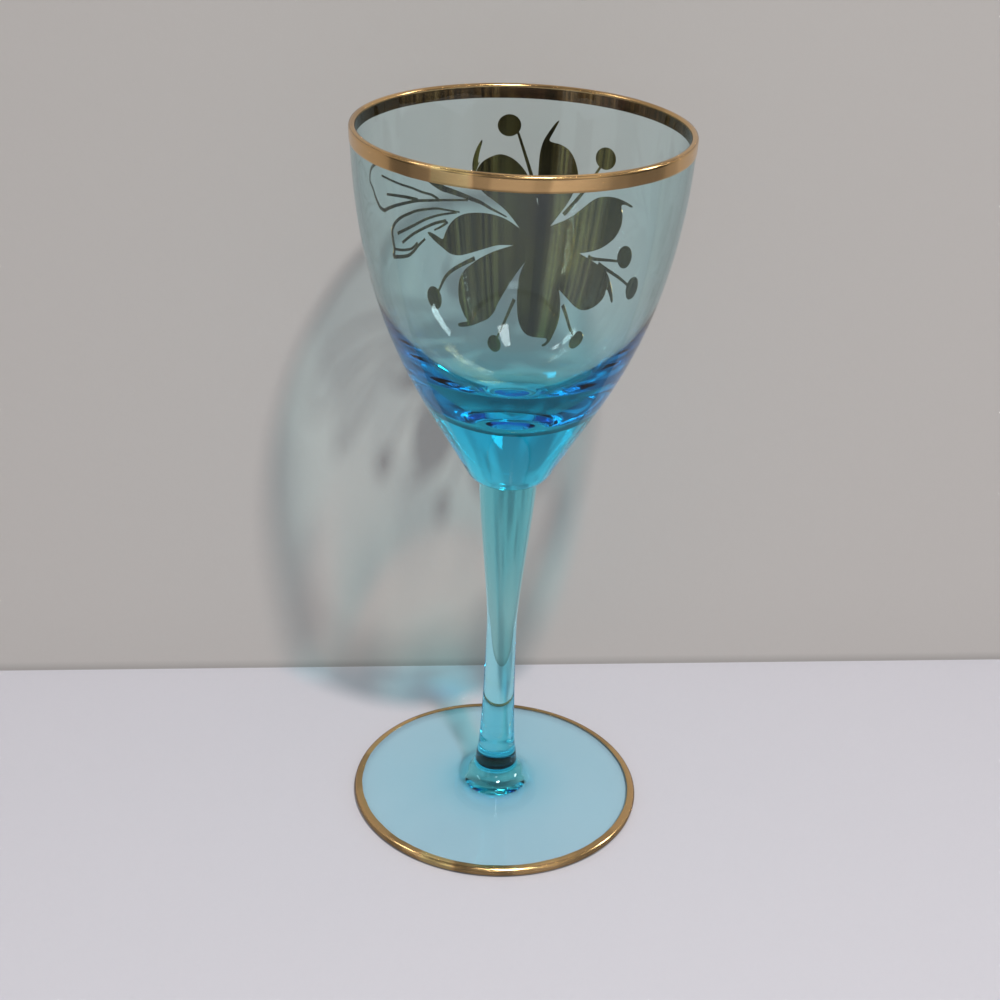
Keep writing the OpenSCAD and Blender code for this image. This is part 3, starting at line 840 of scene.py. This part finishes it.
def wall_finish(stage):
    """Painted wall, seen from the room only: from behind it is open. It has painted shade high up, at its
    foot and in reflections inside the glass, and painted light where it is seen through the solid base.
    """
    f = Finish("wall_paint")
    height = f.along(2)
    path = f.add("LightPath").outputs
    fleck = f.grain(f.place(), 700, 5, 0.65)
    cloud = f.grain(f.place(), 14, 3)
    colour = f.blend(f.spread(fleck, 0.0, 0.16), toned(stage.wall), toned(stage.wall, 0.85))
    colour = f.blend(f.spread(cloud, 0.0, 0.12), colour, toned(stage.wall, 0.9))
    # Painted shade: the wall is darker higher up
    colour = f.blend(f.slope(height, 0.02, 0.20), colour, toned(stage.wall, HIGH_SHADE))
    # Painted contact shadow where the wall meets the table
    colour = f.blend(f.slope(height, 0.4 * MM, 2.2 * MM, 0.45, 0.0), colour, toned(stage.wall, GAP_SHADE))
    # Painted light: the wall seen through the solid base is drawn brighter and bluer
    low, full, fading, high = BEHIND_BASE
    band = f.math("MULTIPLY", f.slope(height, low, full), f.slope(height, fading, high, 1.0, 0.0))
    through_solid = f.math("COMPARE", path["Transmission Depth"], 2.0, 0.5)
    colour = f.blend(f.math("MULTIPLY", through_solid, band), colour, toned(stage.wall, BEHIND_BASE_LIGHT))
    # Painted shade: the wall is drawn darker where it is mirrored inside the glass
    mirrored = f.math("GREATER_THAN", path["Glossy Depth"], 0.5)
    in_glass = f.math("GREATER_THAN", path["Transmission Depth"], 0.5)
    inner = f.math("MULTIPLY", f.math("MULTIPLY", in_glass, mirrored), f.slope(height, INNER_FROM, INNER_TO))
    colour = f.blend(inner, colour, toned(stage.wall, INNER_SHADE))
    body = f.add("BsdfPrincipled", {
        "Base Color": colour,
        "Roughness": f.spread(fleck, 0.75, 0.95),
        "Specular IOR Level": 0.1,
        "Normal": f.bump(fleck, 0.2, 0.1 * MM),
    })
    open_side = f.add("BsdfTransparent", {"Color": (1, 1, 1, 1)})
    behind = f.add("NewGeometry").outputs["Backfacing"]
    surface = f.add("MixShader", {0: behind, 1: body.outputs[0], 2: open_side.outputs[0]})
    return f.done(surface.outputs[0])


# Windows and lamps that shiny things mirror: turn from the camera's side round to +X, width, bottom and top
# in degrees, and strength
WINDOWS = (
    (20, 16, 57, 71, 60.0), (98, 7, 22, 36, 22.0), (-85, 6, 38, 56, 9.0), (4, 10, 31, 37, 3.0),
    (-32, 10, -30, 38, 0.35), (-60, 18, -30, 38, 0.30), (45, 16, -30, 38, 0.15))
WINDOW_SOFTNESS = math.radians(1.0)
# How bright the room is from low down to straight up, and how its dark and pale things vary that
ROOM_LEVELS = ((0.08, 0.04), (0.24, 0.14), (0.38, 0.28), (0.52, 0.34), (0.81, 0.24), (1.0, 0.12))
ROOM_THINGS = ((0.36, 0.25), (0.44, 0.45), (0.56, 0.55), (0.64, 0.95))
THINGS_GAIN = (2.0, 1.98, 1.95, 1)
# What the camera sees of the room beside and above the wall, directly or through the glass
PLAIN_ROOM = (0.60, 0.60, 0.61, 1)


def between(f, value, low, high, soft):
    """1 where a number lies between two others, and falls to 0 softly outside them."""
    return f.math("MULTIPLY", f.slope(value, low - soft, low), f.slope(value, high, high + soft, 1.0, 0.0))


def window(f, direction, turned, width, bottom, top):
    """1 in the directions of an upright window, and 0 elsewhere."""
    turned, width, bottom, top = (math.radians(v) for v in (turned, width, bottom, top))
    ahead = f.dot(direction, (math.sin(turned), -math.cos(turned), 0))
    aside = f.dot(direction, (math.cos(turned), math.sin(turned), 0))
    angle = f.math("ARCTAN2", aside, ahead)
    across = between(f, angle, -width / 2, width / 2, WINDOW_SOFTNESS)
    rise = between(f, f.along(2, direction), math.sin(bottom), math.sin(top), math.sin(WINDOW_SOFTNESS))
    return f.math("MULTIPLY", across, rise)


def room_light(stage):
    """Soft light from all sides, and what shiny things and glass see of the room."""
    world = bpy.data.worlds.new("room")
    bpy.context.scene.world = world
    world.cycles.sampling_method = "NONE"
    f = Finish("room", world)
    direction = f.add("TexCoord").outputs["Generated"]
    level = f.ramp(f.slope(f.along(2, direction), -0.2, 1.0), *ROOM_LEVELS)
    flat = f.vector("MULTIPLY", direction, (1, 1, 0.15))
    things = f.times(f.ramp(f.grain(flat, 2.6, 3, 0.6), *ROOM_THINGS), THINGS_GAIN)
    path = f.add("LightPath").outputs
    seen = f.math("LESS_THAN", path["Diffuse Depth"], 0.5)
    mirrored = f.math("GREATER_THAN", path["Glossy Depth"], 0.5)
    shown = f.math("MULTIPLY", mirrored, seen)
    colour = f.blend(seen, toned((stage.daylight,) * 3, (1, 1, 1.02)), PLAIN_ROOM)
    colour = f.blend(shown, colour, f.times(level, things))
    for turned, width, bottom, top, strength in WINDOWS:
        amount = f.math("MULTIPLY", window(f, direction, turned, width, bottom, top), shown)
        glow = f.blend(amount, (0, 0, 0, 1), (strength, strength, strength, 1))
        colour = f.blend(1.0, colour, glow, "ADD")
    back = f.add("Background", {"Color": colour, "Strength": 1.0})
    f.add("OutputWorld", {"Surface": back.outputs[0]})


def shadow_lamp(stage):
    """The small lamp that throws the shadow. Shiny things and glass don't show it."""
    data = bpy.data.lights.new("lamp", "AREA")
    data.shape, data.size, data.energy, data.color = "DISK", LAMP_SIZE, stage.lamp, LAMP_COLOUR
    lamp = bpy.data.objects.new("lamp", data)
    lamp.location = LAMP_PLACE
    lamp.rotation_euler = (Vector(LAMP_TARGET) - Vector(LAMP_PLACE)).to_track_quat("-Z", "Y").to_euler()
    lamp.visible_transmission = lamp.visible_glossy = False
    bpy.context.scene.collection.objects.link(lamp)


CAMERA_PLACE = Vector((0, -286.28, 211.77)) * MM
CAMERA_PITCH, CAMERA_YAW, CAMERA_ROLL = (math.radians(a) for a in (27.143, -0.266, 2.403))
CAMERA_LENS, CAMERA_SENSOR = 62.8, 36.0


def photo_camera():
    """The camera, at the height, tilt and roll of the photograph."""
    level = Vector((math.sin(CAMERA_YAW), math.cos(CAMERA_YAW), 0))
    ahead = level * math.cos(CAMERA_PITCH) - Vector((0, 0, math.sin(CAMERA_PITCH)))
    right = Vector((math.cos(CAMERA_YAW), -math.sin(CAMERA_YAW), 0))
    up = right.cross(ahead)
    c, s = math.cos(CAMERA_ROLL), math.sin(CAMERA_ROLL)
    across, above = c * right + s * up, -s * right + c * up
    data = bpy.data.cameras.new("camera")
    data.sensor_width, data.lens = CAMERA_SENSOR, CAMERA_LENS
    data.clip_start, data.clip_end = 0.01, 10
    camera = bpy.data.objects.new("camera", data)
    facing = Matrix((across, above, -ahead)).transposed().to_4x4()
    camera.matrix_world = Matrix.Translation(CAMERA_PLACE) @ facing
    bpy.context.scene.collection.objects.link(camera)
    bpy.context.scene.camera = camera


# Half the side of the table, its top just under the foot, and half the width and the height of the wall
TABLE_REACH, TABLE_TOP = 0.7, -0.03 * MM
WALL_REACH, WALL_HEIGHT = 0.36, 0.45
CORNERS = ((-1, -1), (1, -1), (1, 1), (-1, 1))
# Light passes the glass many times before it leaves the thick base
MOST_PASSES, MOST_MIRRORS, MOST_CLEAR = 40, 24, 32


class CORDIAL_OT_stage(bpy.types.Operator):
    """Sets up the table, the wall, the light and the camera"""

    bl_idname = "cordial.stage"
    bl_label = "Stage"

    def execute(self, context):
        stage = context.scene.cordial_stage
        corners = [(x * TABLE_REACH, y * TABLE_REACH, TABLE_TOP) for x, y in CORNERS]
        plain_sheet("table", corners, table_finish(stage))
        middle = Vector((0, stage.wall_distance, 0))
        wide = WALL_REACH * Vector((math.cos(stage.wall_turn), math.sin(stage.wall_turn), 0))
        high = Vector((0, 0, WALL_HEIGHT))
        corners = [middle - wide, middle + wide, middle + wide + high, middle - wide + high]
        plain_sheet("wall", corners, wall_finish(stage))
        room_light(stage)
        shadow_lamp(stage)
        photo_camera()
        context.scene.view_settings.view_transform = "Standard"
        paths = context.scene.cycles
        paths.max_bounces = paths.transmission_bounces = MOST_PASSES
        paths.glossy_bounces, paths.transparent_max_bounces = MOST_MIRRORS, MOST_CLEAR
        paths.blur_glossy = 0.0
        return {"FINISHED"}


# Panel


class CORDIAL_PT_panel(bpy.types.Panel):
    """Buttons for each piece and the stage"""

    bl_idname = "CORDIAL_PT_panel"
    bl_label = "Cordial Glass"
    bl_space_type = "VIEW_3D"
    bl_region_type = "UI"
    bl_category = "Cordial Glass"

    def draw(self, context):
        for title, settings, operators in (
            ("Glass", context.scene.cordial_glass, OPERATORS[:1]),
            ("Gold", context.scene.cordial_gold, OPERATORS[1:-1]),
            ("Stage", context.scene.cordial_stage, OPERATORS[-1:]),
        ):
            box = self.layout.box()
            box.label(text=title)
            for name in settings.__annotations__:
                box.prop(settings, name)
            for operator in operators:
                box.operator(operator.bl_idname)


SETTINGS = (GlassSettings, GoldSettings, StageSettings)
# In the order in which they run: the glass, then the gold, then the stage
OPERATORS = (
    CORDIAL_OT_glass, CORDIAL_OT_rim_band, CORDIAL_OT_foot_line, CORDIAL_OT_flower, CORDIAL_OT_stamens,
    CORDIAL_OT_leaves, CORDIAL_OT_stage)


def register():
    for cls in (*SETTINGS, *OPERATORS, CORDIAL_PT_panel):
        bpy.utils.register_class(cls)
    bpy.types.Scene.cordial_glass = bpy.props.PointerProperty(type=GlassSettings)
    bpy.types.Scene.cordial_gold = bpy.props.PointerProperty(type=GoldSettings)
    bpy.types.Scene.cordial_stage = bpy.props.PointerProperty(type=StageSettings)


def unregister():
    del bpy.types.Scene.cordial_stage
    del bpy.types.Scene.cordial_gold
    del bpy.types.Scene.cordial_glass
    for cls in reversed((*SETTINGS, *OPERATORS, CORDIAL_PT_panel)):
        bpy.utils.unregister_class(cls)


def main():
    """Builds all the pieces and the stage."""
    register()
    bpy.ops.cordial.glass()
    bpy.ops.cordial.rim_band()
    bpy.ops.cordial.foot_line()
    bpy.ops.cordial.flower()
    bpy.ops.cordial.stamens()
    bpy.ops.cordial.leaves()
    bpy.ops.cordial.stage()


if __name__ == "__main__":
    main()
